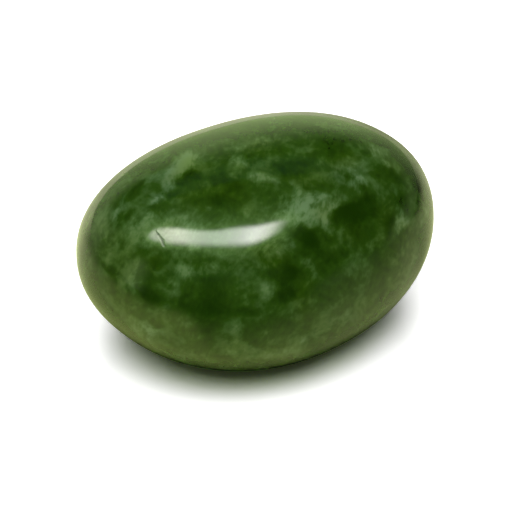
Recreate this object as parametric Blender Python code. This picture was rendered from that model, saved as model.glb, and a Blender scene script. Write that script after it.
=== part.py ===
"""A tumbled and polished jade pebble, lying on its flattest side.

Units are metres and +Z is up. X runs along the stone, from its broad end at -X to its narrower
end at +X. The origin is under the middle of the stone, on the surface that it rests on.
"""

from math import cos, radians, sin

import bmesh
import bpy
import numpy as np

# The unworn stone's driving sizes.
LENGTH = 0.0500
WIDTH = 0.0384
THICKNESS = 0.0279

# How its form departs from an ellipsoid, as shares of half its width or half its thickness.
FULLNESS = 2.15  # exponent of the superellipsoid: 2 is an ellipsoid, more is fuller
END_TAPER = 0.075  # the width shrinks by this towards +X and grows by it towards -X
CROWN_TAPER = 0.070  # the width shrinks by this towards the top and grows by it below
FLANK_DROP = 0.053  # the flanks at +Y and -Y hang this much lower than the spine
TWIST = 0.039  # how far the flanks turn about the stone's length from end to end

# Broad flats that tumbling has worn into the stone: the way each one faces, in degrees round
# from +X and up from the horizon, how deep it is worn and how softly it blends, in metres.
WORN_FLATS = {
    "far_flank": (60, -10, 0.00020, 0.0012),
    "far_heel": (112, -34, 0.00015, 0.0010),
    "narrow_end": (12, -30, 0.00015, 0.0010),
}
FOOT_DEPTH = 0.00070  # how deep the flat that it rests on is worn
FOOT_BLEND = 0.00030

SPHERE_SUBDIVISIONS = 5
SMOOTH_ANGLE = radians(40)

JADE_COLOUR = (0.045, 0.105, 0.020, 1.0)
JADE_ROUGHNESS = 0.08
JADE_IOR = 1.62


def facing(around, up):
    """The unit vector that faces this many degrees round from +X and up from the horizon."""
    around, up = radians(around), radians(up)
    return np.array([cos(around) * cos(up), sin(around) * cos(up), sin(up)])


def unworn_stone(directions):
    """Each direction meets a superellipsoid, whose flanks are then tapered, dropped and turned."""
    power_sum = (np.abs(directions) ** FULLNESS).sum(axis=1, keepdims=True)
    x, y, z = (directions / power_sum ** (1 / FULLNESS)).T
    flank = y * (1 - END_TAPER * x - CROWN_TAPER * z)
    height = z - FLANK_DROP * y * y - TWIST * x * y
    return np.stack([x * LENGTH, flank * WIDTH, height * THICKNESS], axis=1) / 2


def wear(points, normal, depth, blend):
    """Presses the points beyond a plane back onto it. The plane lies depth under the furthest
    point, and over twice blend the press comes in along a parabola, so it leaves no edge."""
    height = points @ normal
    height = height - (height.max() - depth)
    pressed = np.clip(height + blend, 0, 2 * blend) ** 2 / (4 * blend)
    pressed += np.clip(height - blend, 0, None)
    return points - pressed[:, None] * normal


def pebble_points(directions):
    """The stone's surface points, one for each unit direction, standing on the origin."""
    points = unworn_stone(directions)
    for around, up, depth, blend in WORN_FLATS.values():
        points = wear(points, facing(around, up), depth, blend)
    points = wear(points, facing(0, -90), FOOT_DEPTH, FOOT_BLEND)
    low, high = points.min(axis=0), points.max(axis=0)
    middle = (low + high) / 2
    return points - np.array([middle[0], middle[1], low[2]])


def jade_material():
    material = bpy.data.materials.new("polished_jade")
    material.use_nodes = True
    shader = material.node_tree.nodes["Principled BSDF"]
    shader.inputs["Base Color"].default_value = JADE_COLOUR
    shader.inputs["Roughness"].default_value = JADE_ROUGHNESS
    shader.inputs["Metallic"].default_value = 0.0
    shader.inputs["IOR"].default_value = JADE_IOR
    material.diffuse_color = JADE_COLOUR
    return material


def build_pebble(collection):
    """The whole stone: a sphere whose points are moved onto the worn pebble."""
    mesh = bpy.data.meshes.new("jade_pebble")
    sphere = bmesh.new()
    bmesh.ops.create_icosphere(sphere, subdivisions=SPHERE_SUBDIVISIONS, radius=1)
    directions = np.array([vertex.co.normalized() for vertex in sphere.verts])
    for vertex, point in zip(sphere.verts, pebble_points(directions)):
        vertex.co = point
    bmesh.ops.recalc_face_normals(sphere, faces=sphere.faces)
    sphere.to_mesh(mesh)
    sphere.free()
    mesh.shade_smooth()
    mesh.set_sharp_from_angle(angle=SMOOTH_ANGLE)
    mesh.materials.append(jade_material())
    pebble = bpy.data.objects.new("jade_pebble", mesh)
    collection.objects.link(pebble)
    return pebble


def main():
    for old in list(bpy.data.objects):
        bpy.data.objects.remove(old)
    stone = bpy.data.collections.new("polished_jade_pebble")
    bpy.context.scene.collection.children.link(stone)
    build_pebble(stone)


main()
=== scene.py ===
"""A tumbled and polished jade pebble on a pale studio floor.

The stone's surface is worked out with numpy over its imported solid, and its jade is a procedural
material: warped clouds, veils, flecks and fibres laid through the stone in object space.
"""

from math import cos, pi, radians, sin

import bmesh
import bpy
import numpy as np
from bpy.props import FloatProperty, FloatVectorProperty, PointerProperty
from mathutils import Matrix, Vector


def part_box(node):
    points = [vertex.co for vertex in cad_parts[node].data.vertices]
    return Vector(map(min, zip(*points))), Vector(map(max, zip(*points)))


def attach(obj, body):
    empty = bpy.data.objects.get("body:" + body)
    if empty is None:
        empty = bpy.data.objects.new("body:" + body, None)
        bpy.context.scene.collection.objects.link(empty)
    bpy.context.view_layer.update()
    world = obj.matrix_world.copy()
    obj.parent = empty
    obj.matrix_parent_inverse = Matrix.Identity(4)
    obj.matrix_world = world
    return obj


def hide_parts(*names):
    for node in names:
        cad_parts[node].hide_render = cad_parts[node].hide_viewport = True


bl_info = {
    "name": "Polished Jade Pebble",
    "version": (1, 0, 0),
    "blender": (4, 5, 0),
    "location": "View3D > Sidebar > Jade",
    "description": "Builds a tumbled and polished jade pebble and the studio around it",
    "category": "Object",
}

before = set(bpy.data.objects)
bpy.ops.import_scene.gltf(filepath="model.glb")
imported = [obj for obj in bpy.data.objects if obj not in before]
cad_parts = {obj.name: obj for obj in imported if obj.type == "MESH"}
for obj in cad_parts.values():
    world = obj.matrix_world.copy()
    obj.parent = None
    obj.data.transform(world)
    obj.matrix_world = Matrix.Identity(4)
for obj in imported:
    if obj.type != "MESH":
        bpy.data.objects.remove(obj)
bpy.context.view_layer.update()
STONE_LOW, STONE_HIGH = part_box("jade_pebble")
STONE_SIZE = STONE_HIGH - STONE_LOW
STONE_MIDDLE = (STONE_LOW + STONE_HIGH) / 2
UPRIGHT = np.array([0, 0, 1])

# The unworn stone, before tumbling wore its flats: length, width and thickness.
UNWORN_SIZE = np.array([0.0500, 0.0384, 0.0279])

# Flats that tumbling has worn into the stone: the way each one faces, in degrees round from +X
# and up from the horizon, how deep it is worn and how softly it blends, in metres.
WORN_FLATS = {
    "far_flank": (60, -10, 0.00020, 0.0012),
    "far_heel": (112, -34, 0.00015, 0.0010),
    "narrow_end": (12, -30, 0.00015, 0.0010),
    "foot": (0, -90, 0.00070, 0.00030),
}

GRID_CELLS = 128  # along each side of the six grids that wrap the stone
SEAM_GAP = 1e-6

# Low swells that hand polishing leaves: wavelength in metres, share of the ripple depth, the
# way the swell runs, in degrees round from +X and up from the horizon, and its phase.
RIPPLES = (
    (0.0130, 1.00, 20, 10, 0.4),
    (0.0110, 0.85, 95, -15, 2.1),
    (0.0090, 0.60, -40, 50, 4.0),
    (0.0070, 0.45, 60, 25, 1.2),
    (0.0056, 0.30, 150, -40, 5.1),
    (0.0043, 0.20, 5, 70, 3.3),
)

# The jade's larger markings. Each cloud lies where the stone's surface is this many degrees round
# from +X and up from the horizon, seen from its middle. Then come its length and width in
# millimetres, its turn in degrees from level, anticlockwise, and how strongly it tells.
PALE_CLOUDS = (
    # the milky veil over the long shoulder, with the streak that runs down from it
    (-197, 49, 4.5, 2.3, -48, 0.30),
    (-186, 42, 7.5, 2.8, -52, 0.32),
    (-179, 30, 3.5, 1.5, -60, 0.22),
    (-175, 25, 2.2, 1.2, -75, 0.28),
    (-221, 57, 4.0, 2.5, -48, 0.15),
    # thin patches across the crown
    (-154, 64, 2.6, 2.8, 0, 0.28),
    (-148, 54, 1.4, 1.2, 0, 0.25),
    (-129, 55, 3.4, 1.5, -7, 0.28),
    (-65, 57, 3.0, 1.6, 0, 0.12),
    (-41, 78, 2.0, 1.8, 0, 0.12),
    # the big cloud in the middle of the near shoulder and the veils that trail from it
    (-114, 35, 5.2, 2.8, 7, 0.36),
    (-97, 36, 4.5, 2.7, -7, 0.32),
    (-97, 29, 1.8, 0.8, 62, 0.35),
    (-89, 39, 2.2, 1.0, -10, 0.22),
    (-64, 37, 3.2, 1.6, -9, 0.30),
    (-63, 45, 5.5, 2.2, -12, 0.16),
    (-95, 24, 2.0, 1.5, 0, 0.20),
    # the near flank
    (-155, 21, 2.2, 1.0, 10, 0.32),
    (-155, 14, 1.7, 1.5, 0, 0.30),
    (-157, 9, 2.0, 1.7, 70, 0.15),
    (-170, 8, 5.5, 1.2, -80, 0.15),
    (-151, -1, 2.0, 1.2, 28, 0.15),
    (-127, 9, 2.3, 2.1, 0, 0.22),
    (-112, 15, 3.0, 1.2, -54, 0.20),
    (-79, 13, 3.2, 1.3, -7, 0.15),
    (-57, 13, 3.4, 1.6, -11, 0.20),
    # the underside of the near flank
    (-163, -5, 3.4, 1.6, -14, 0.42),
    (-160, 1, 3.2, 1.3, 24, 0.12),
    (-138, -10, 4.2, 2.0, 0, 0.12),
    (-122, -13, 5.8, 2.5, -10, 0.10),
    (-115, -11, 2.4, 1.5, 62, 0.12),
    (-97, -9, 2.3, 1.4, -87, 0.15),
    # broad soft light patches under the smaller marks
    # This first one is painted light: it lightens the jade round the left half of the softbox's
    # highlight, where the highlight's glow spreads.
    (-163, 26, 6.0, 3.0, 10, 0.20),
    (-140, 21, 6.0, 2.0, 0, 0.15),
    (-124, 24, 5.0, 2.6, -5, 0.28),
    (-105, 41, 4.5, 2.0, -8, 0.22),
    (-191, 52, 3.0, 2.2, -48, 0.24),
    (-178, 21, 4.0, 3.0, -70, 0.15),
    (-172, 1, 6.0, 3.0, -60, 0.12),
    (-164, -8, 4.5, 2.4, -14, 0.20),
    (-147, -13, 6.5, 3.0, 0, 0.16),
    (-127, -16, 7.0, 3.0, -3, 0.08),
    (-104, -12, 7.0, 3.2, -8, 0.16),
    (-56, 15, 3.0, 2.8, 0, 0.18),
    (-31, 36, 2.6, 2.4, 0, 0.15),
    (-47, 38, 3.0, 1.5, -10, 0.12),
    (-188, 49, 4.5, 2.0, -46, 0.14),
    (-195, 36, 3.5, 1.8, 60, 0.14),
    (-190, 23, 3.4, 2.4, -79, 0.20),
    (-187, 15, 9.0, 6.0, -30, 0.10),
    (-172, 21, 5.8, 3.0, 11, 0.20),
    (-161, 20, 2.2, 1.3, 14, 0.20),
    (-149, 15, 4.0, 1.6, 17, 0.22),
    (-135, -5, 7.3, 2.3, -7, 0.14),
    (-136, 37, 1.7, 0.7, -85, 0.20),
    (-105, 46, 2.4, 1.1, 41, 0.20),
    (-112, 29, 2.3, 1.0, 43, 0.16),
    (-84, 35, 2.4, 1.2, 0, 0.18),
    (-64, 34, 3.2, 1.2, 10, 0.18),
    (-60, 13, 4.0, 1.4, 24, 0.18),
    (-66, 2, 3.6, 2.0, 24, 0.18),
    (-39, 8, 5.0, 2.2, 8, 0.26),
    (-32, 34, 5.5, 1.6, -20, 0.24),
    # small light places among the pools
    (-145, 52, 1.4, 1.1, 14, 0.18),
    (-38, 31, 1.5, 1.3, 52, 0.22),
    (-33, 42, 1.4, 1.2, 45, 0.18),
    (-103, 37, 2.2, 1.5, 39, 0.18),
    (-86, 35, 1.2, 1.4, -21, 0.14),
    (-93, 49, 1.2, 1.0, -20, 0.10),
    (-126, 16, 1.4, 1.0, -5, 0.14),
    (-65, -4, 2.6, 1.2, -7, 0.16),
    (-189, 22, 3.2, 2.6, -66, 0.16),
    (-164, 21, 1.8, 1.5, 15, 0.12),
    (-158, 15, 1.8, 1.0, -22, 0.12),
    (-51, 22, 1.4, 1.2, 55, 0.12),
    (-206, 30, 2.6, 2.0, -40, 0.12),
    (-100, 86, 3.8, 3.0, -38, 0.16),
    (-178, 32, 1.9, 1.5, 51, 0.20),
    (-192, 42, 1.6, 1.5, -55, 0.14),
    (-184, 49, 1.6, 1.5, 0, 0.12),
    (-115, 43, 1.8, 1.3, 15, 0.16),
    (-106, 30, 3.6, 2.2, 6, 0.20),
    (-56, 21, 3.2, 1.4, -28, 0.16),
    (-39, 32, 2.0, 1.5, -48, 0.14),
    (-55, -4, 3.5, 1.8, 18, 0.25),
    (-24, 12, 6.0, 1.4, -84, 0.20),
    (-50, 10, 2.8, 0.8, -26, 0.16),
    (-149, -4, 2.4, 1.4, 6, 0.14),
    (-170, 7, 1.4, 1.2, 70, 0.12),
    (-157, 18, 1.4, 1.0, 12, 0.12),
    (-114, -11, 2.0, 1.5, 2, 0.14),
    (-129, 18, 1.4, 1.4, -4, 0.10),
    (-104, 51, 1.8, 1.2, -13, 0.10),
    (-221, 43, 2.6, 1.6, -8, 0.12),
    # the far side, where the veils go on
    (30, 35, 7.0, 2.4, 35, 0.30),
    (75, 20, 5.0, 3.0, -20, 0.35),
    (95, 45, 6.5, 2.2, 50, 0.25),
    (118, 5, 4.0, 2.0, 10, 0.25),
    (140, 30, 5.5, 2.6, -35, 0.30),
    (50, -10, 4.5, 1.8, 25, 0.25),
    (5, 5, 3.5, 1.6, -60, 0.22),
    (100, -35, 6.0, 2.6, 15, 0.28),
    (-60, -40, 5.0, 2.2, -25, 0.22),
    (-150, -50, 4.5, 2.4, 40, 0.22),
)
DEEP_CLOUDS = (
    # between the shoulder's veil and the crown
    (-176, 44, 3.8, 2.2, 40, 0.28),
    (-175, 36, 1.8, 1.5, 0, 0.15),
    (-150, 39, 4.2, 1.9, 13, 0.28),
    (-143, 45, 2.8, 2.6, 0, 0.16),
    (-188, 21, 2.8, 1.4, -50, 0.20),
    (-192, 29, 3.8, 1.5, -50, 0.20),
    (-141, 50, 3.2, 1.6, 20, 0.14),
    (-97, 57, 6.0, 2.4, -13, 0.16),
    # the curl near the narrow end of the crown, and the crescent round that end
    (-33, 55, 3.7, 1.6, -82, 0.14),
    (-49, 54, 1.2, 2.0, -44, 0.08),
    (-37, 40, 1.4, 1.2, 0, 0.25),
    (-24, 30, 4.2, 0.8, -75, 0.30),
    (-31, 21, 4.0, 1.0, 80, 0.25),
    (-36, 14, 4.3, 1.3, 75, 0.28),
    (-51, 17, 3.2, 1.4, 79, 0.25),
    # the deepest pool, under the near shoulder's veils
    (-84, 29, 3.6, 3.2, 0, 0.26),
    (-75, 27, 5.0, 2.8, -10, 0.32),
    (-65, 31, 2.6, 2.2, -32, 0.24),
    (-68, 19, 4.2, 2.0, -27, 0.20),
    (-109, 25, 3.0, 2.0, -29, 0.26),
    (-107, 20, 2.2, 1.7, 70, 0.16),
    (-99, 16, 3.5, 1.6, -9, 0.20),
    (-80, 18, 4.8, 1.4, -15, 0.14),
    # pools low on the near flank
    (-121, 14, 3.3, 2.3, -9, 0.16),
    (-121, 6, 4.0, 1.4, 0, 0.22),
    (-143, 7, 4.6, 4.2, 0, 0.24),
    (-147, 11, 1.8, 1.6, 0, 0.12),
    (-152, 4, 2.0, 1.8, 0, 0.20),
    # These two marks, at -163, 6 and -178, 8, are painted reflection: they darken the jade along
    # the edge of the floor's mirror image.
    (-163, 6, 3.6, 1.6, -10, 0.28),
    (-178, 8, 5.5, 0.9, -10, 0.14),
    (-162, 15, 2.8, 1.2, 14, 0.15),
    (-134, 3, 4.2, 1.4, 0, 0.15),
    (-134, -5, 2.3, 1.6, 0, 0.12),
    (-72, -11, 2.1, 1.5, 0, 0.15),
    # smaller pools between them
    (-118, 11, 3.0, 2.8, 0, 0.12),
    (-42, 27, 2.2, 2.0, 0, 0.15),
    (-146, -2, 4.0, 1.4, 0, 0.12),
    (-132, -2, 3.0, 1.6, 0, 0.10),
    (-88, 62, 3.0, 2.0, -20, 0.12),
    (-55, 48, 2.4, 2.0, 0, 0.12),
    (-38, 23, 3.6, 1.4, -16, 0.22),
    (-35, 15, 3.8, 1.4, -10, 0.14),
    (-81, 22, 3.5, 1.5, 9, 0.18),
    (-66, 14, 2.4, 1.5, 18, 0.14),
    (-110, 21, 3.0, 1.5, 43, 0.18),
    (-119, 12, 2.4, 1.5, 50, 0.14),
    (-144, 3, 2.8, 1.2, 12, 0.08),
    (-69, 60, 4.2, 1.6, -19, 0.14),
    (-167, 42, 1.8, 1.3, 82, 0.12),
    (-146, 70, 1.6, 1.3, 17, 0.10),
    (-60, 16, 3.4, 1.8, -10, 0.12),
    (-35, 14, 2.6, 1.0, 33, 0.12),
    (-46, 10, 2.6, 0.8, 20, 0.14),
    (-30, 26, 3.0, 1.1, 60, 0.12),
    (-98, 22, 1.5, 1.3, -16, 0.10),
    (-116, 5, 2.0, 1.2, -13, 0.10),
    (-104, 1, 1.8, 1.2, -18, 0.10),
    (-93, 61, 2.0, 1.1, -24, 0.08),
    (-128, 69, 2.2, 1.3, 81, 0.12),
    (-47, 55, 4.2, 3.0, -61, 0.12),
    (-136, 2, 2.2, 1.8, 80, 0.10),
    (-118, 4, 1.9, 1.2, -15, 0.12),
    (-45, 48, 2.8, 1.4, -48, 0.08),
    (-177, 6, 1.8, 1.6, -29, 0.14),
    (-88, 38, 1.4, 1.3, -21, 0.12),
    (-141, 14, 2.0, 1.5, 2, 0.10),
    (-126, -11, 3.6, 1.4, -16, 0.10),
    (-147, 49, 2.0, 1.6, 14, 0.08),
    # the far side
    (55, 25, 6.0, 3.0, 15, 0.28),
    (110, 25, 5.0, 3.2, -30, 0.26),
    (15, 25, 4.0, 2.4, 60, 0.22),
    (150, 10, 5.0, 2.6, 20, 0.26),
    (85, -5, 6.5, 2.4, -10, 0.26),
    (20, -20, 4.5, 2.8, 40, 0.22),
    (130, -30, 5.5, 2.6, -15, 0.24),
    (-110, -45, 6.5, 2.6, 10, 0.22),
    (-30, -25, 4.0, 2.2, 30, 0.20),
)
# Painted light, in the same terms: the bluish cast that the light from above and the haze round
# the softbox's highlight give the milky parts, laid into the jade's colour.
COOL_LIGHT_CLOUDS = (
    (-186, 37, 9.0, 4.0, -50, 0.80),
    (-158, 30, 9.0, 3.5, 0, 0.55),
    (-96, 34, 11.0, 4.0, -6, 0.55),
    (-64, 42, 7.0, 4.0, -10, 0.80),
    (-115, 21, 5.0, 3.0, 0, 0.60),
    (-120, 46, 12.0, 6.0, -10, 0.30),
    (-65, 24, 9.0, 6.0, -20, 0.55),
    (-194, 25, 8.0, 5.0, -60, 0.50),
    (80, 30, 11.0, 5.0, 10, 0.80),
    (130, 10, 8.0, 5.0, -30, 0.70),
)
CLOUD_CORE = 0.4  # a cloud is whole within this share of its half length, and gone beyond
CLOUD_RIM = 1.6   # this share of it

# A healed hairline crack: the places that it runs through, in degrees round from +X and up from
# the horizon, and half its width in millimetres where it begins and where it ends. Then how
# noise moves it about, and how much it takes off the tone and adds to the roughness.
CRACK = ((-169.8, 23.2), (-168.2, 22.5), (-166.6, 21.7), (-165.2, 20.9), (-163.6, 20.1))
CRACK_REACH = (0.14, 0.34)
CRACK_DRIFT = (0.9, 0.25)
CRACK_SHADE = 0.4
CRACK_MATTNESS = 0.3

MILLIMETRES = 1000  # in a metre: the jade's patterns are laid out in millimetres

# How noise moves each pattern about: a wavelength and a reach, or several, one after another.
DRIFT_LAYERS = 1
CLOUD_DRIFTS = ((4.5, 2.0), (1.5, 0.7))
MOTTLE_DRIFTS = ((7.0, 5.0), (2.0, 1.0))
GRAIN_DRIFT = (1.6, 0.8)
FLECK_DRIFT = (0.8, 0.7)

# Each pattern's wavelength, and how many finer layers of noise lie over it.
MOTTLE = (3.6, 3)
GRAIN = (1.0, 2)
VEIL_PATCHES = (1.7, 2)
WARM_PATCHES = (7.0, 1)
POLISH_WAVES = (1.3, 1)
POLISH_PATCHES = (2.2, 3)

# Fibres and finer hairs: how noise moves them about, their size along their own axes, and how
# many finer layers lie over them. Their axes are turned about X, Y and Z, in radians.
FIBRES = ((6.0, 3.0), (2.6, 0.6, 0.8), 2)
HAIRS = ((5.0, 2.0), (1.3, 0.28, 0.5), 1)
FIBRE_TURN = (0.5, 0.3, 0.9)

# The flecks' cells: their size, how far from its middle a fleck fades, as a share of the cell,
# and which cells hold none and which a whole one, from 0 to 1.
FLECK_CELL = 1.5
FLECK_FADE = (0.38, 0.0)
FLECK_CHOICE = (0.70, 0.95)

# How the markings make up the tone, from 0, all deep green, to 1, all veil.
MARKS_LOST_IN_POOLS = 0.6
LEAST_MARKS = 0.45
VEIL_MOTTLE = 1.8
VEIL_BASE = 0.1
VEIL_SOFTNESS = 0.6
TONE_LIMITS = (0.06, 1.0)
TONE_SOFTNESS = 0.4
BODY_TONE = 0.45   # where the colours reach the body green
LIGHT_TONE = 0.75  # and the light green
WARM_RISE = (0.45, 0.65)
WARM_TINT = (1.06, 1.0, 0.75, 1)
# Painted light: where on the tone the bluish cast of the light from above sets in, and its tint.
COOL_LIGHT_RISE = (0.1, 0.5)
COOL_LIGHT_TINT = (1.06, 1.0, 1.60, 1)

POLISH_SPREAD = 0.08  # from the smoothest patch to the roughest
POLISH_MARGIN = 0.03  # from the smoothest patch up to the roughness asked for
JADE_IOR = 1.62
LIGHT_REACHES = (0.7, 1.0, 0.5)  # of red, green and blue under the surface
RELIEF_RISE = 0.002  # the height over which the low swells set in above the foot

# The floor round the stone, as the polish mirrors it, at this many degrees round from straight
# behind the stone: how far off its light by the stone gives way to its light further out, in
# metres, how bright each of the two is, and how much both have of the colour that lies behind.
FLOOR_LIGHT = (
    (-180, 0.032, 1.20, 0.00, 0.05),
    (-165, 0.037, 1.25, 0.00, 0.00),
    (-150, 0.095, 1.05, 0.00, 0.00),
    (-130, 0.060, 1.20, 0.00, 0.00),
    (-110, 0.100, 0.72, 0.08, 0.05),
    (-90, 0.100, 0.80, 0.02, 0.15),
    (-72, 0.115, 0.90, 0.32, 0.35),
    (-57, 0.110, 1.25, 0.50, 0.40),
    (-44, 0.130, 1.00, 1.20, 0.50),
    (-30, 0.150, 0.58, 0.92, 0.60),
    (-15, 0.150, 0.58, 0.80, 0.65),
    (0, 0.100, 0.56, 0.78, 0.75),
    (16, 0.180, 0.36, 0.62, 0.50),
    (26, 0.120, 0.36, 0.72, 0.50),
    (36, 0.160, 0.74, 0.54, 0.55),
    (46, 0.180, 0.78, 0.12, 0.45),
    (57, 0.155, 0.80, 0.00, 0.30),
    (70, 0.170, 0.50, 0.46, 0.30),
    (88, 0.060, 0.72, 0.25, 0.28),
    (110, 0.050, 0.74, 0.30, 0.20),
    (130, 0.050, 0.88, 0.13, 0.15),
    (150, 0.045, 0.80, 0.00, 0.12),
    (166, 0.031, 1.50, 0.00, 0.05),
    (180, 0.032, 1.20, 0.00, 0.05),
)
FLOOR_EDGE = 4.0

# Painted shade and painted green light on the floor close by the stone: how far they reach,
# between which shares of open sky they fade, and their tint, which darkens the floor and greens it
# like the light that comes through the stone. The mirrored floor comes out of the stone's shade
# between shares of its own.
CONTACT_REACH = 0.012
CONTACT_RISE = (0.08, 0.38)
CONTACT_SHADE_AND_GREEN_LIGHT = np.array([0.66, 0.85, 0.40])
CONTACT_SAMPLES = 8
MIRRORED_RISE = (0.12, 0.60)

# The wall behind the stone, as the polish mirrors it: how bright it is at this many degrees round
# from straight behind the stone, and the heights between which it fades, in degrees.
WALL_LIGHT = (
    (-125, 0.10, 24, 40),
    (-112, 0.70, 26, 38),
    (-105, 1.15, 26, 38),
    (-97, 0.15, 22, 36),
    (-90, 0.10, 20, 40),
    (-75, 0.22, 20, 36),
    (-65, 0.60, 14, 30),
    (-55, 0.82, 12, 26),
    (-44, 0.78, 6, 26),
    (-32, 0.66, 18, 30),
    (-22, 0.74, 22, 42),
    (-12, 1.10, 24, 46),
    (3, 1.24, 10, 44),
    (15, 0.88, 12, 36),
    (27, 0.58, 16, 32),
    (38, 0.40, 20, 32),
    (47, 0.22, 10, 24),
    (60, 0.30, 2, 14),
    (75, 0.75, 2, 16),
    (88, 0.22, 0, 8),
    (100, 0.40, 2, 14),
    (115, 0.34, 2, 12),
    (128, 0.00, 0, 10),
)
WALL_DISTANCE = 0.9
WALL_TOP = 46       # degrees up
WALL_END_FADE = 12  # degrees in from each end
WALL_CELLS = (80, 40)

# The curved softbox above the floor, at stations along it: how far right, how far ahead its far
# edge and its near edge lie, in metres, its strength, and its red and blue against green.
SOFTBOX_STATIONS = (
    (-0.94, 0.08, -0.02, 0.52, 0.98, 0.90),
    (-0.74, 0.15, -0.18, 0.62, 0.98, 0.86),
    (-0.60, 0.11, -0.27, 0.80, 1.00, 0.86),
    (-0.50, 0.07, -0.31, 1.04, 1.00, 0.86),
    (-0.40, 0.02, -0.34, 1.12, 0.99, 0.86),
    (-0.25, -0.07, -0.405, 0.92, 0.91, 0.82),
    (-0.06, -0.12, -0.45, 0.82, 0.87, 0.82),
    (0.10, -0.09, -0.475, 0.95, 0.90, 0.85),
    (0.22, -0.08, -0.475, 1.12, 0.95, 0.90),
    (0.33, -0.08, -0.455, 1.55, 0.99, 0.95),
    (0.44, -0.03, -0.41, 1.05, 0.98, 0.90),
    (0.60, 0.00, -0.22, 0.50, 0.92, 0.82),
)
SOFTBOX_HEIGHT = 1.0
SOFTBOX_SMOOTHINGS = 24
SOFTBOX_END_FADE = 0.14            # in from each end, in metres
SOFTBOX_EDGE_FADES = (0.22, 0.45)  # in from its far and its near edge, as shares of its width
# Its light spills past its far and its near edge, and fades along its cloth's own edges. The
# cloth reaches from left to right, and from near to far.
SPILL_REACH = (0.10, 0.07)
SPILL_COLOUR = np.array([0.58, 1.0, 0.34])
SPILL_HIDDEN = 0.7  # the share of it that is lost where the softbox is bright
CLOTH_ENDS = (-1.35, 1.00)
CLOTH_SIDES = (-0.95, 0.55)
CLOTH_FADE = 0.1
CLOTH_CELLS = (188, 120)

# How far up a direction points, from 0 to 1, where the room above begins and where it is whole.
ABOVE_RISE = (0.42, 0.87)

# Where the camera aims: above the floor, and then across and up in its own picture. Its sensor's
# width is in millimetres, and it sees from so near to so far.
AIM_HEIGHT = 0.0145
AIM_RIGHT = -0.00071
AIM_ABOVE = -0.00413
SENSOR_WIDTH = 36
VIEW_DEPTH = (0.01, 20)


def number(name, description, default, **kind):
    """A setting that is a number."""
    return FloatProperty(name=name, description=description, default=default, **kind)


def metres(name, description, default, precision=2):
    """A setting that is a length."""
    return number(name, description, default, unit="LENGTH", precision=precision)


def paint(name, description, *default):
    """A setting that is a colour."""
    return FloatVectorProperty(
        name=name, description=description, default=default, subtype="COLOR"
    )


def spot(name, *default):
    """A setting that is a place in the studio."""
    where = "Right of, ahead of and above the stone"
    return FloatVectorProperty(name=name, description=where, default=default, unit="LENGTH")


class PebbleShape(bpy.types.PropertyGroup):
    """The stone's sizes and how its form departs from an ellipsoid."""

    length: metres("Length", "Along X, from end to end", STONE_SIZE.x)
    width: metres("Width", "Along Y, across the stone", STONE_SIZE.y)
    height: metres("Height", "Along Z, from the floor up", STONE_SIZE.z)
    fullness: number("Fullness", "Exponent of the superellipsoid: 2 is an ellipsoid", 2.15)
    end_taper: number("End taper", "Share by which the width shrinks towards +X", 0.075)
    crown_taper: number("Crown taper", "Share by which the width shrinks upwards", 0.070)
    flank_drop: number("Flank drop", "Share of half the height by which the flanks hang", 0.053)
    twist: number("Twist", "How far the flanks turn from end to end", 0.039)
    ripple_depth: metres("Ripple depth", "Depth of the low swells left by polishing", 0.000018, 6)


class JadeFinish(bpy.types.PropertyGroup):
    """The jade's colours, its markings and its polish."""

    deep_green: paint("Deep green", "In the darkest pools", 0.0045, 0.0190, 0.0003)
    body_green: paint("Body green", "Of most of the stone", 0.0190, 0.0560, 0.0035)
    light_green: paint("Light green", "Of its lighter clouds", 0.0480, 0.1030, 0.0220)
    veil_green: paint("Veil green", "Of its milkiest veils", 0.0950, 0.1680, 0.0560)
    body_tone: number("Body tone", "From 0, all deep green, to 1, all veil", 0.455)
    mottle: number("Mottle", "Strength of the broad mottling", 1.15)
    grain: number("Grain", "Strength of the fine mottling", 0.36)
    flecks: number("Flecks", "Strength of the pale flecks", 0.15)
    fibres: number("Fibres", "Strength of the drawn-out fibres", 0.45)
    veils: number("Veils", "Strength of the hand-placed milky veils", 1.1)
    pools: number("Pools", "Strength of the hand-placed deep green pools", 1.25)
    streaks: number("Streaks", "How far the fibres show in the pale veils", 1.3)
    hairs: number("Hairs", "How far the finest fibres show in the pale veils", 0.8)
    # Painted light: how bluish the light from above makes the milky parts.
    cool_light_share: number("Coolness", "How bluish the cool veils are", 0.65)
    translucency: number("Translucency", "Share of the light that spreads under the surface", 0.7)
    light_reach: metres("Light reach", "How far light spreads under the surface", 0.0007, 5)
    roughness: number("Roughness", "Of the polish", 0.06)
    polish_marks: metres("Polish marks", "Height of the faint waves in the polish", 0.000002, 6)
    crack_depth: metres("Crack depth", "Depth of the healed hairline crack", 0.00001, 6)


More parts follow.
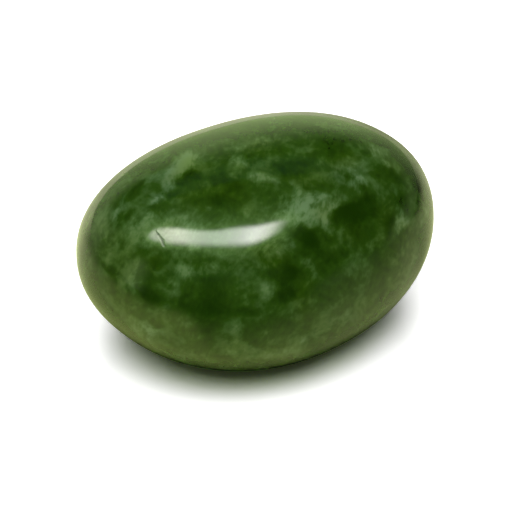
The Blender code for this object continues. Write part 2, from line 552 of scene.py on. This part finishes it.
class StudioSetup(bpy.types.PropertyGroup):
    """The floor, the lights and the camera. What is "mirrored" tells only in the polish."""

    floor_colour: paint("Floor", "Colour of the floor", 0.86, 0.86, 0.85)
    floor_exposure: number("Floor exposure", "How far past its own colour it is exposed", 1.66)
    floor_near: paint("Mirrored floor", "The floor by the stone", 0.50, 0.585, 0.178)
    floor_behind: paint("Mirrored floor behind", "The floor further off", 0.90, 0.92, 0.66)
    wall_colour: paint("Mirrored wall", "The wall behind the stone", 0.53, 0.67, 0.31)
    room_colour: paint("Room", "Soft light that the whole room gives", 0.11, 0.11, 0.11)
    room_dusk: paint("Mirrored room", "The rest of the room", 0.014, 0.021, 0.007)
    room_above: paint("Mirrored room above", "Past the softbox", 0.010, 0.022, 0.055)
    overhead_power: number("Overhead light", "Power of the big overhead panel", 12, unit="POWER")
    overhead_size: metres("Overhead size", "Width of the overhead panel", 1.0)
    overhead_place: spot("Overhead place", -0.05, -0.36, 0.84)
    back_power: number("Back light", "Power of the panel behind the stone", 3.2, unit="POWER")
    back_size: metres("Back light size", "Width of the panel behind the stone", 0.45)
    back_place: spot("Back light place", 0.0, 0.62, 0.50)
    softbox_strength: number("Mirrored softbox", "Strength of the curved softbox", 9.0)
    softbox_spill: number("Softbox spill", "Share of its light past its outline", 0.14)
    azimuth: number("Azimuth", "Camera's way round the stone", radians(-39.2), subtype="ANGLE")
    elevation: number("Elevation", "Camera above the horizon", radians(30), subtype="ANGLE")
    distance: metres("Distance", "From the camera to the stone", 0.25)
    lens: number("Lens", "Focal length in millimetres", 135.2)


def facing(around, up):
    """The unit vector that faces this many degrees round from +X and up from the horizon."""
    around, up = radians(around), radians(up)
    return np.array([cos(around) * cos(up), sin(around) * cos(up), sin(up)])


def sphere_grids(cells):
    """Unit directions on six square grids that together wrap a sphere, as arrays (n, n, 3).

    Each grid is a function of u and v from -1 to 1: the direction of (1, tan(u pi/4),
    tan(v pi/4)) on a cube's face, with its axes turned onto that face."""
    steps = np.tan(np.linspace(-1, 1, cells + 1) * pi / 4)
    u, v = np.meshgrid(steps, steps, indexing="ij")
    face = np.stack([np.ones_like(u), u, v], axis=-1)
    face /= np.linalg.norm(face, axis=-1, keepdims=True)
    for turn in range(3):
        turned = np.roll(face, turn, axis=-1)
        yield turned
        yield turned[::-1] * -1


def unworn_stone(directions, shape):
    """Each direction d meets a superellipsoid at d / (|x|^p + |y|^p + |z|^p)^(1/p). Its width
    then shrinks by the tapers, and its flanks drop by y squared and turn by x times y."""
    power_sum = (np.abs(directions) ** shape.fullness).sum(axis=-1, keepdims=True)
    x, y, z = np.moveaxis(directions / power_sum ** (1 / shape.fullness), -1, 0)
    flank = y * (1 - shape.end_taper * x - shape.crown_taper * z)
    height = z - shape.flank_drop * y * y - shape.twist * x * y
    return np.stack([x, flank, height], axis=-1) * UNWORN_SIZE / 2


def wear(points, normal, depth, blend):
    """Presses the points beyond a plane back onto it. The plane lies depth under the furthest
    point, and over twice blend the press comes in along a parabola, so it leaves no edge."""
    height = points @ normal
    height = height - (height.max() - depth)
    pressed = np.clip(height + blend, 0, 2 * blend) ** 2 / (4 * blend)
    pressed += np.clip(height - blend, 0, None)
    return points - pressed[..., None] * normal


def pebble_surface(shape):
    """The stone's surface as six grids (6, n, n, 3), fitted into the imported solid's box."""
    points = unworn_stone(np.stack(list(sphere_grids(GRID_CELLS))), shape)
    for around, up, depth, blend in WORN_FLATS.values():
        points = wear(points, facing(around, up), depth, blend)
    low, high = points.min(axis=(0, 1, 2)), points.max(axis=(0, 1, 2))
    size = np.array([shape.length, shape.width, shape.height])
    share = (points - low) / (high - low)
    return share * size + np.array([-size[0] / 2, -size[1] / 2, STONE_LOW.z])


def ripple(places, depth):
    """A sum of sine swells at these places, from 0 down to depth below the surface."""
    total = np.zeros(len(places))
    for wavelength, share, around, up, phase in RIPPLES:
        total += share * np.sin(places @ facing(around, up) * 2 * pi / wavelength + phase)
    reach = sum(swell[1] for swell in RIPPLES)
    return depth * (total / reach - 1)


def surface_at(places, around, up):
    """The place on the surface that lies nearest to this direction from the stone's middle."""
    out = places - np.array(STONE_MIDDLE)
    out /= np.linalg.norm(out, axis=1, keepdims=True)
    return places[np.argmax(out @ facing(around, up))]


def grid_faces(count, rows, columns):
    """Corner indices of the quads of count grids, each of rows by columns points."""
    index = np.arange(count * rows * columns).reshape(count, rows, columns)
    corners = (index[:, :-1, :-1], index[:, 1:, :-1], index[:, 1:, 1:], index[:, :-1, 1:])
    return np.stack(corners, axis=-1).reshape(-1, 4)


def build_mesh(name, points, faces):
    """A mesh from points (n, 3) and quads (m, 4), its seams merged and its faces turned out."""
    mesh = bpy.data.meshes.new(name)
    mesh.from_pydata(points.tolist(), [], faces.tolist())
    work = bmesh.new()
    work.from_mesh(mesh)
    bmesh.ops.remove_doubles(work, verts=work.verts, dist=SEAM_GAP)
    bmesh.ops.recalc_face_normals(work, faces=work.faces)
    work.to_mesh(mesh)
    work.free()
    mesh.shade_smooth()
    return mesh


def vectors_of(items, name):
    """The vectors of this name that the mesh's items hold, as an array (n, 3)."""
    values = np.empty(len(items) * 3)
    items.foreach_get(name, values)
    return values.reshape(-1, 3)


def smooth(share):
    """Smoothstep: 3 s squared less 2 s cubed, with s held between 0 and 1."""
    share = np.clip(share, 0, 1)
    return share * share * (3 - 2 * share)


def inside_ends(values, ends, fade):
    """1 well between the two ends, falling evenly to 0 at each of them."""
    return np.clip(np.minimum(values - ends[0], ends[1] - values) / fade, 0, 1)


def link(name, data):
    """A new object of this name and data, in the scene."""
    thing = bpy.data.objects.new(name, data)
    bpy.context.scene.collection.objects.link(thing)
    return thing


def add_node(tree, kind, inputs=(), **settings):
    """A shader node with these settings. Its inputs are given by name or number, as values or
    as links."""
    node = tree.nodes.new("ShaderNode" + kind)
    for name, value in settings.items():
        setattr(node, name, value)
    for place, value in dict(inputs).items():
        if isinstance(value, bpy.types.NodeSocket):
            tree.links.new(value, node.inputs[place])
        else:
            node.inputs[place].default_value = value
    return node


def calculate(tree, operation, *values):
    """A Math node's answer."""
    return add_node(tree, "Math", enumerate(values), operation=operation).outputs[0]


def added(tree, total, value, share):
    """The total with this share of the value added."""
    return calculate(tree, "MULTIPLY_ADD", value, share, total)


def combine(tree, operation, *vectors):
    """A Vector Math node's answer, where it is a vector."""
    return add_node(tree, "VectorMath", enumerate(vectors), operation=operation).outputs["Vector"]


def measure(tree, operation, *vectors):
    """A Vector Math node's answer, where it is a number."""
    return add_node(tree, "VectorMath", enumerate(vectors), operation=operation).outputs["Value"]


def scaled(tree, vector, share):
    """The vector times this number."""
    inputs = {0: vector, "Scale": share}
    return add_node(tree, "VectorMath", inputs, operation="SCALE").outputs["Vector"]


def blended(tree, share, colour, other, blend="MIX"):
    """The colour, with this share of the other mixed in, or of it multiplied by the other."""
    inputs = {0: share, 6: colour, 7: other}
    return add_node(tree, "Mix", inputs, data_type="RGBA", blend_type=blend).outputs[2]


def noise(tree, place, wavelength, layers, output="Fac"):
    """Perlin noise of this wavelength in millimetres, with so many finer layers over it."""
    inputs = {"Vector": place, "Scale": 1 / wavelength, "Detail": layers}
    return add_node(tree, "TexNoise", inputs).outputs[output]


def swing(tree, place, wavelength, layers):
    """Noise of this wavelength that swings about 0."""
    return calculate(tree, "SUBTRACT", noise(tree, place, wavelength, layers), 0.5)


def drifted(tree, place, *drifts):
    """The place moved by a noise of each wavelength in turn, up to half the reach that comes with
    it along each axis."""
    for wavelength, reach in drifts:
        drift = noise(tree, place, wavelength, DRIFT_LAYERS, "Color")
        start = combine(tree, "SUBTRACT", place, (reach / 2,) * 3)
        place = combine(tree, "MULTIPLY_ADD", drift, (reach,) * 3, start)
    return place


def drawn_out(tree, place, drift, size, layers):
    """Noise that is drawn out to this size along the fibres' axes, and swings about 0."""
    inputs = {0: drifted(tree, place, drift), 2: FIBRE_TURN, 3: size}
    drawn = add_node(tree, "Mapping", inputs, vector_type="TEXTURE").outputs[0]
    return swing(tree, drawn, 1.0, layers)


def pale_flecks(tree, place):
    """1 in the middle of some cells that fill the stone, falling to 0 round them."""
    inputs = {"Vector": drifted(tree, place, FLECK_DRIFT), "Scale": 1 / FLECK_CELL}
    cells = add_node(tree, "TexVoronoi", inputs)
    pick = add_node(tree, "SeparateColor", {0: cells.outputs["Color"]}).outputs[0]
    middle = rise_between(tree, cells.outputs["Distance"], *FLECK_FADE)
    return calculate(tree, "MULTIPLY", middle, rise_between(tree, pick, *FLECK_CHOICE))


def rise_between(tree, value, low, high):
    """0 below the low value and 1 above the high one, or the other way round if low is higher."""
    inputs = {0: value, 1: low, 2: high}
    return add_node(tree, "MapRange", inputs, interpolation_type="SMOOTHSTEP").outputs[0]


def soft_cloud_group():
    """A node group that adds one soft cloud to a sum. Its three axes, each divided by its own half
    size, give the place in a frame in which the cloud is a ball of radius 1. From the core to the
    rim of that ball the cloud's strength falls by smoothstep."""
    group = bpy.data.node_groups.new("soft_cloud", "ShaderNodeTree")
    for name in ("Place", "Centre", "Along", "Across", "Out"):
        group.interface.new_socket(name, in_out="INPUT", socket_type="NodeSocketVector")
    for name in ("Strength", "Sum"):
        group.interface.new_socket(name, in_out="INPUT", socket_type="NodeSocketFloat")
    group.interface.new_socket("Sum", in_out="OUTPUT", socket_type="NodeSocketFloat")
    asked = group.nodes.new("NodeGroupInput").outputs
    away = combine(group, "SUBTRACT", asked["Place"], asked["Centre"])
    axes = (asked["Along"], asked["Across"], asked["Out"])
    shares = [measure(group, "DOT_PRODUCT", away, axis) for axis in axes]
    ball = add_node(group, "CombineXYZ", enumerate(shares)).outputs[0]
    share = rise_between(group, measure(group, "LENGTH", ball), CLOUD_RIM, CLOUD_CORE)
    total = added(group, asked["Sum"], share, asked["Strength"])
    group.links.new(total, group.nodes.new("NodeGroupOutput").inputs[0])
    return group


def sum_of_clouds(tree, group, place, clouds, surface):
    """All these clouds added up, each centred on the stone's surface and lying in it."""
    total = 0.0
    for around, up, length, width, turn, strength in clouds:
        out = facing(around, up)
        east = np.array([-sin(radians(around)), cos(radians(around)), 0])
        along = east * cos(radians(turn)) + np.cross(out, east) * sin(radians(turn))
        inputs = {
            "Place": place,
            "Centre": surface_at(surface, around, up) * MILLIMETRES,
            "Along": along * 2 / length,
            "Across": np.cross(out, along) * 2 / width,
            "Out": out * 4 / (length + width),
            "Strength": strength,
            "Sum": total,
        }
        total = add_node(tree, "Group", inputs, node_tree=group).outputs[0]
    return total


def colour_ramp(tree, tone, stops):
    """The colours at these tones, with straight steps between them."""
    node = add_node(tree, "ValToRGB", {0: tone})
    points = node.color_ramp.elements
    while len(points) < len(stops):
        points.new(0.5)
    for point, (position, colour) in zip(points, sorted(stops.items())):
        point.position = position
        point.color = (*colour, 1)
    return node.outputs[0]


def jade_tone(tree, finish, place, surface):
    """How milky the jade is, from 0 to 1, and how far painted light from above turns it bluish.
    Its tone is the body's, plus marks that the pools calm, plus veils, less the pools, plus
    flecks, and is held within its limits."""
    group = soft_cloud_group()
    cloud_place = drifted(tree, place, *CLOUD_DRIFTS)
    pale, deep, cool_light = (
        sum_of_clouds(tree, group, cloud_place, clouds, surface)
        for clouds in (PALE_CLOUDS, DEEP_CLOUDS, COOL_LIGHT_CLOUDS)
    )

    mottle = swing(tree, drifted(tree, place, *MOTTLE_DRIFTS), *MOTTLE)
    grain = swing(tree, drifted(tree, place, GRAIN_DRIFT), *GRAIN)
    fibres = drawn_out(tree, place, *FIBRES)
    hairs = drawn_out(tree, place, *HAIRS)
    marks = calculate(tree, "MULTIPLY", mottle, finish.mottle)
    marks = added(tree, marks, grain, finish.grain)
    marks = added(tree, marks, fibres, finish.fibres)
    calm = added(tree, 1.0, deep, -MARKS_LOST_IN_POOLS)
    calm = calculate(tree, "MAXIMUM", calm, LEAST_MARKS)
    tone = added(tree, finish.body_tone, marks, calm)

    texture = added(tree, VEIL_BASE, noise(tree, cloud_place, *VEIL_PATCHES), VEIL_MOTTLE)
    texture = added(tree, texture, fibres, finish.streaks)
    texture = added(tree, texture, hairs, finish.hairs)
    texture = calculate(tree, "SMOOTH_MAX", texture, 0.0, VEIL_SOFTNESS)
    texture = calculate(tree, "MULTIPLY", texture, finish.veils)
    tone = added(tree, tone, pale, texture)
    tone = added(tree, tone, deep, -finish.pools)
    tone = added(tree, tone, pale_flecks(tree, place), finish.flecks)
    tone = calculate(tree, "SMOOTH_MAX", tone, TONE_LIMITS[0], TONE_SOFTNESS)
    tone = calculate(tree, "SMOOTH_MIN", tone, TONE_LIMITS[1], TONE_SOFTNESS)
    return tone, cool_light


def hairline(tree, place, line, reach):
    """1 on the line through these places, falling to 0 by smoothstep at a distance from it. Along
    the line that distance goes from the first reach to the second."""
    nearest = 1.0
    reaches = np.linspace(*reach, len(line) - 1)
    for start, end, width in zip(line[:-1], line[1:], reaches.tolist()):
        along = end - start
        away = combine(tree, "SUBTRACT", place, start)
        share = measure(tree, "DOT_PRODUCT", away, along / (along @ along))
        share = calculate(tree, "MINIMUM", calculate(tree, "MAXIMUM", share, 0.0), 1.0)
        foot = scaled(tree, along, share)
        gap = measure(tree, "LENGTH", combine(tree, "SUBTRACT", away, foot))
        nearest = calculate(tree, "MINIMUM", nearest, calculate(tree, "DIVIDE", gap, width))
    return rise_between(tree, nearest, 1.0, 0.0)


def jade_material(finish, surface):
    """Polished nephrite: warped noise and listed clouds set its tone, which a ramp turns into
    colour. Light spreads a little under its surface, and its polish is faintly uneven."""
    material = bpy.data.materials.new("polished_jade")
    material.use_nodes = True
    tree = material.node_tree
    place = scaled(tree, add_node(tree, "TexCoord").outputs["Object"], MILLIMETRES)
    tone, cool_light = jade_tone(tree, finish, place, surface)
    line = [surface_at(surface, *point) * MILLIMETRES for point in CRACK]
    crack = hairline(tree, drifted(tree, place, CRACK_DRIFT), line, CRACK_REACH)
    tone = added(tree, tone, crack, -CRACK_SHADE)
    colour = colour_ramp(tree, tone, {
        0: finish.deep_green,
        BODY_TONE: finish.body_green,
        LIGHT_TONE: finish.light_green,
        1: finish.veil_green,
    })
    warm = rise_between(tree, noise(tree, place, *WARM_PATCHES), *WARM_RISE)
    colour = blended(tree, warm, colour, WARM_TINT, "MULTIPLY")
    # Painted light: the bluish cast of the light from above, laid into the colour where the jade
    # is milky.
    cool_light = calculate(tree, "MULTIPLY", cool_light, rise_between(tree, tone, *COOL_LIGHT_RISE))
    cool_light = calculate(tree, "MULTIPLY", cool_light, finish.cool_light_share)
    colour = blended(tree, cool_light, colour, COOL_LIGHT_TINT, "MULTIPLY")

    waves = noise(tree, place, *POLISH_WAVES)
    height = calculate(tree, "MULTIPLY", waves, finish.polish_marks)
    height = added(tree, height, crack, -finish.crack_depth)
    bump = add_node(tree, "Bump", {"Height": height, "Distance": 1.0, "Strength": 1.0})
    smoothest = finish.roughness - POLISH_MARGIN
    polish = added(tree, smoothest, noise(tree, place, *POLISH_PATCHES), POLISH_SPREAD)
    polish = added(tree, polish, crack, CRACK_MATTNESS)
    shader = tree.nodes["Principled BSDF"]
    tree.links.new(colour, shader.inputs["Base Color"])
    tree.links.new(polish, shader.inputs["Roughness"])
    tree.links.new(bump.outputs[0], shader.inputs["Normal"])
    shader.inputs["IOR"].default_value = JADE_IOR
    shader.inputs["Subsurface Weight"].default_value = finish.translucency
    shader.inputs["Subsurface Radius"].default_value = LIGHT_REACHES
    shader.inputs["Subsurface Scale"].default_value = finish.light_reach
    return material


class JADE_OT_build_pebble(bpy.types.Operator):
    """Build the stone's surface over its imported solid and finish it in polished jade"""

    bl_idname = "jade.build_pebble"
    bl_label = "Build Pebble"

    def execute(self, context):
        shape = context.scene.jade_shape
        surface = pebble_surface(shape)
        places = surface.reshape(-1, 3)
        mesh = build_mesh("polished_jade_pebble", places, grid_faces(*surface.shape[:3]))
        points = vectors_of(mesh.vertices, "co")
        normals = vectors_of(mesh.vertex_normals, "vector")
        rise = np.clip((points[:, 2] - STONE_LOW.z) / RELIEF_RISE, 0, 1)
        relief = ripple(points, shape.ripple_depth) * rise
        mesh.vertices.foreach_set("co", (points + normals * relief[:, None]).ravel())
        mesh.update()
        pebble = link("polished_jade_pebble", mesh)
        mesh.materials.append(jade_material(context.scene.jade_finish, places))
        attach(pebble, "root")
        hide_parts("jade_pebble")
        return {"FINISHED"}


class JADE_OT_build_studio(bpy.types.Operator):
    """Lay the floor, put up the wall and the lights, and aim the camera"""

    bl_idname = "jade.build_studio"
    bl_label = "Build Studio"

    def execute(self, context):
        studio = context.scene.jade_studio
        right = np.array([cos(studio.azimuth), sin(studio.azimuth), 0])
        ahead = np.array([-sin(studio.azimuth), cos(studio.azimuth), 0])
        lay_floor(studio, right, ahead)
        put_up_wall(studio, right, ahead)
        hang_softbox(studio, right, ahead)
        overhead = (studio.overhead_power, studio.overhead_size, studio.overhead_place)
        hang_panel("overhead_panel", *overhead, right, ahead)
        behind = (studio.back_power, studio.back_size, studio.back_place)
        hang_panel("back_panel", *behind, right, ahead)
        light_room(context.scene, studio)
        aim_camera(context.scene, studio, right, ahead)
        return {"FINISHED"}


def card_on_stage(name, points, material, glow=None):
    """A grid of points (n, m, 3) as a card that isn't part of the stone, with the colour (n, m, 3)
    that each point gives off, if it gives any."""
    mesh = bpy.data.meshes.new(name)
    faces = grid_faces(1, *points.shape[:2])
    mesh.from_pydata(points.reshape(-1, 3).tolist(), [], faces.tolist())
    mesh.materials.append(material)
    if glow is not None:
        colour = np.insert(glow, 3, 1, axis=-1)
        lit = mesh.attributes.new("glow", "FLOAT_COLOR", "POINT")
        lit.data.foreach_set("color", colour.ravel())
    card = link(name, mesh)
    return card


def bare_material(name):
    """A material with nothing in it but its output."""
    material = bpy.data.materials.new(name)
    material.use_nodes = True
    material.node_tree.nodes.remove(material.node_tree.nodes["Principled BSDF"])
    return material


def glowing_material(name, strength):
    """A material that gives off the colour of the card's glow. Only mirrored rays find it, so it
    isn't sampled as a lamp."""
    material = bare_material(name)
    tree = material.node_tree
    glow = add_node(tree, "Attribute", attribute_name="glow").outputs["Color"]
    light = add_node(tree, "Emission", {"Color": glow, "Strength": strength}).outputs[0]
    tree.links.new(light, tree.nodes["Material Output"].inputs["Surface"])
    material.cycles.emission_sampling = "NONE"
    return material


def show_to(tree, ray, shader, other):
    """One shader to rays of this kind, and the other to all others."""
    path = add_node(tree, "LightPath").outputs[ray]
    return add_node(tree, "MixShader", {0: path, 1: other, 2: shader}).outputs[0]


def matt(tree, colour):
    """A shader that scatters light evenly in this colour."""
    return add_node(tree, "BsdfDiffuse", {"Color": colour}).outputs[0]


def mirrored_floor(tree, studio, right, ahead):
    """The floor's colour in the stone's polish: f + (n - f) / (1 + (d / r) to the fourth) at
    distance d. Its colours near and far, n and f, and its reach r depend on the way round."""
    place = add_node(tree, "TexCoord").outputs["Object"]
    distance = measure(tree, "LENGTH", place)
    side = measure(tree, "DOT_PRODUCT", place, right)
    depth = measure(tree, "DOT_PRODUCT", place, ahead)
    way = added(tree, 0.5, calculate(tree, "ARCTAN2", side, depth), 0.5 / pi)
    near, behind = np.array(studio.floor_near), np.array(studio.floor_behind)
    close_by, further, reaches = {}, {}, {}
    for around, reach, bright, far_bright, share in FLOOR_LIGHT:
        turn = around / 360 + 0.5
        colour = near * (1 - share) + behind * share
        close_by[turn] = bright * colour
        further[turn] = far_bright * colour
        reaches[turn] = (reach, reach, reach)
    share = calculate(tree, "DIVIDE", distance, colour_ramp(tree, way, reaches))
    fade = calculate(tree, "ADD", calculate(tree, "POWER", share, 4.0), 1.0)
    fade = calculate(tree, "DIVIDE", 1.0, fade)
    far_colour = colour_ramp(tree, way, further)
    return blended(tree, fade, far_colour, colour_ramp(tree, way, close_by))


def lay_floor(studio, right, ahead):
    """The pale floor. The camera sees it exposed to white, with painted shade and painted green
    light close by the stone, and the polish mirrors it with a light of its own."""
    material = bare_material("floor_white")
    tree = material.node_tree
    colour = np.array(studio.floor_colour)
    exposed = colour * studio.floor_exposure
    reach = {"Distance": CONTACT_REACH}
    open_sky = add_node(tree, "AmbientOcclusion", reach, samples=CONTACT_SAMPLES).outputs["AO"]
    lit = rise_between(tree, open_sky, *CONTACT_RISE)
    # Painted shade and green light where the floor has little open sky by the stone.
    seen = blended(tree, lit, (*(CONTACT_SHADE_AND_GREEN_LIGHT * exposed), 1), (*exposed, 1))
    mirrored = mirrored_floor(tree, studio, right, ahead)
    unshaded = rise_between(tree, open_sky, *MIRRORED_RISE)
    mirrored = blended(tree, unshaded, (0, 0, 0, 1), mirrored)
    shown = show_to(tree, "Is Glossy Ray", matt(tree, mirrored), matt(tree, (*colour, 1)))
    shown = show_to(tree, "Is Camera Ray", matt(tree, seen), shown)
    tree.links.new(shown, tree.nodes["Material Output"].inputs["Surface"])
    corners = np.array([[(-1, -1, 0), (-1, 1, 0)], [(1, -1, 0), (1, 1, 0)]])
    card_on_stage("studio_floor", corners * FLOOR_EDGE, material)


def show_in_polish_only(card):
    """Hides the card from the camera and from light that is scattered."""
    card.visible_camera = False
    card.visible_diffuse = False


def between_stations(stations, places):
    """The stations' values at these places along them, joined by straight lines, as (n, m)."""
    values = [np.interp(places, stations[:, 0], column) for column in stations.T[1:]]
    return np.stack(values, axis=-1)


def put_up_wall(studio, right, ahead):
    """A round wall: each point is at the same distance from the stone, at its own way round and
    height. Its light fades upwards by smoothstep."""
    stations = np.array(WALL_LIGHT, dtype=float)
    around = np.linspace(stations[0, 0], stations[-1, 0], WALL_CELLS[0] + 1)
    up = np.linspace(0, WALL_TOP, WALL_CELLS[1] + 1)
    bright, low, high = between_stations(stations, around).T[..., None]
    light = bright * smooth((high - up) / (high - low))
    ends = inside_ends(around, around[[0, -1]], WALL_END_FADE)[:, None]
    turn = np.radians(around)[:, None, None]
    points = (right * np.sin(turn) + ahead * np.cos(turn)) * WALL_DISTANCE
    points = points + UPRIGHT * WALL_DISTANCE * np.tan(np.radians(up))[:, None]
    glow = (light * ends)[..., None] * np.array(studio.wall_colour)
    # The wall is painted light: a card that glows in place of a lit wall, and only the polish sees
    # it.
    wall = card_on_stage("studio_wall", points, glowing_material("wall_painted_glow", 1.0), glow)
    show_in_polish_only(wall)


def softbox_surface(studio, right, ahead):
    """The softbox's cloth as a flat grid (n, m, 3) and its glow. Its stations are joined by
    straight lines, which are then smoothed. With v from 0 at its far edge to 1 at its near one,
    its light is the smoothstep of min(v / f, 1) times min((1 - v) / n, 1), f and n being its edge
    fades. At distance d past its outline, s times e to the minus (d / r) spills."""
    across = np.linspace(*CLOTH_ENDS, CLOTH_CELLS[0] + 1)
    depth = np.linspace(*CLOTH_SIDES, CLOTH_CELLS[1] + 1)
    stations = np.array(SOFTBOX_STATIONS)
    shape = between_stations(stations, across)
    for _ in range(SOFTBOX_SMOOTHINGS):
        shape[1:-1] = (shape[:-2] + 2 * shape[1:-1] + shape[2:]) / 4
    far, near, strength, red, blue = shape.T[..., None]

    ends = stations[[0, -1], 0]
    v = (far - depth) / (far - near)
    far_fade, near_fade = SOFTBOX_EDGE_FADES
    edge = smooth(np.clip(v / far_fade, 0, 1) * np.clip((1 - v) / near_fade, 0, 1))
    core = strength * inside_ends(across, ends, SOFTBOX_END_FADE)[:, None] * edge
    past_end = np.maximum(np.maximum(ends[0] - across, across - ends[1]), 0)[:, None]
    past_far = np.hypot(np.maximum(depth - far, 0), past_end) / SPILL_REACH[0]
    past_near = np.hypot(np.maximum(near - depth, 0), past_end) / SPILL_REACH[1]
    past = np.where(depth > (far + near) / 2, past_far, past_near)
    spill = studio.softbox_spill * np.exp(-past)
    spill = spill * (1 - SPILL_HIDDEN * np.clip(core, 0, 1))

    rim = inside_ends(depth, CLOTH_SIDES, CLOTH_FADE)
    rim = rim * inside_ends(across, CLOTH_ENDS, CLOTH_FADE)[:, None]
    light = (core * rim)[..., None] * np.stack([red, np.ones_like(red), blue], axis=-1)
    light = light + (spill * rim)[..., None] * SPILL_COLOUR
    points = right * across[:, None, None] + ahead * depth[:, None]
    return points + UPRIGHT * SOFTBOX_HEIGHT, light


def hang_softbox(studio, right, ahead):
    """The curved softbox, which only the polish mirrors."""
    points, glow = softbox_surface(studio, right, ahead)
    material = glowing_material("softbox_cloth", studio.softbox_strength)
    show_in_polish_only(card_on_stage("studio_softbox", points, material, glow))


def hang_panel(name, power, size, place, right, ahead):
    """A round panel that lights the stone. It is out of the polish, which mirrors the softbox."""
    light = bpy.data.lights.new(name, "AREA")
    light.shape = "DISK"
    light.size = size
    light.energy = power
    lamp = link(name, light)
    across, onward, height = place
    lamp.location = right * across + ahead * onward + UPRIGHT * height
    lamp.rotation_euler = (-lamp.location).to_track_quat("-Z", "Y").to_euler()
    lamp.visible_glossy = False


def light_room(scene, studio):
    """The room's soft light, and white wherever the camera sees it. In the stone's polish it is
    dim, and bluish from above."""
    world = bpy.data.worlds.new("studio_room")
    world.use_nodes = True
    scene.world = world
    tree = world.node_tree
    tree.nodes.remove(tree.nodes["Background"])
    room, dusk, above, white = (
        add_node(tree, "Background", {"Color": (*colour, 1)}).outputs[0]
        for colour in (studio.room_colour, studio.room_dusk, studio.room_above, (1, 1, 1))
    )
    direction = add_node(tree, "TexCoord").outputs["Generated"]
    upward = add_node(tree, "SeparateXYZ", {0: direction}).outputs["Z"]
    share = rise_between(tree, upward, *ABOVE_RISE)
    dusk = add_node(tree, "MixShader", {0: share, 1: dusk, 2: above}).outputs[0]
    shown = show_to(tree, "Is Glossy Ray", dusk, room)
    shown = show_to(tree, "Is Camera Ray", white, shown)
    tree.links.new(shown, tree.nodes["World Output"].inputs[0])


def aim_camera(scene, studio, right, ahead):
    """The camera, looking down at the stone from its own way round and height."""
    camera = bpy.data.cameras.new("studio_camera")
    camera.lens = studio.lens
    camera.sensor_width = SENSOR_WIDTH
    camera.clip_start, camera.clip_end = VIEW_DEPTH
    eye = link("studio_camera", camera)
    back = UPRIGHT * sin(studio.elevation) - ahead * cos(studio.elevation)
    above = np.cross(back, right)
    aim = UPRIGHT * AIM_HEIGHT + right * AIM_RIGHT + above * AIM_ABOVE
    eye.location = aim + back * studio.distance
    eye.rotation_euler = Vector(-back).to_track_quat("-Z", "Y").to_euler()
    scene.camera = eye
    scene.view_settings.view_transform = "Standard"


class JADE_PT_sidebar(bpy.types.Panel):
    """The stone's and the studio's settings, and the buttons that build them"""

    bl_idname = "JADE_PT_sidebar"
    bl_label = "Jade Pebble"
    bl_space_type = "VIEW_3D"
    bl_region_type = "UI"
    bl_category = "Jade"

    def draw(self, context):
        for place, (title, group) in SETTINGS.items():
            box = self.layout.box()
            box.label(text=title)
            for name in group.__annotations__:
                box.prop(getattr(context.scene, place), name)
        self.layout.operator(JADE_OT_build_pebble.bl_idname)
        self.layout.operator(JADE_OT_build_studio.bl_idname)


SETTINGS = {
    "jade_shape": ("Shape", PebbleShape),
    "jade_finish": ("Jade", JadeFinish),
    "jade_studio": ("Studio", StudioSetup),
}
CLASSES = (
    PebbleShape, JadeFinish, StudioSetup,
    JADE_OT_build_pebble, JADE_OT_build_studio, JADE_PT_sidebar
)


def register():
    for new_class in CLASSES:
        bpy.utils.register_class(new_class)
    for place, (_, group) in SETTINGS.items():
        setattr(bpy.types.Scene, place, PointerProperty(type=group))


def unregister():
    for place in SETTINGS:
        delattr(bpy.types.Scene, place)
    for old_class in reversed(CLASSES):
        bpy.utils.unregister_class(old_class)


def main():
    register()
    bpy.ops.jade.build_pebble()
    bpy.ops.jade.build_studio()


if __name__ == "__main__":
    main()
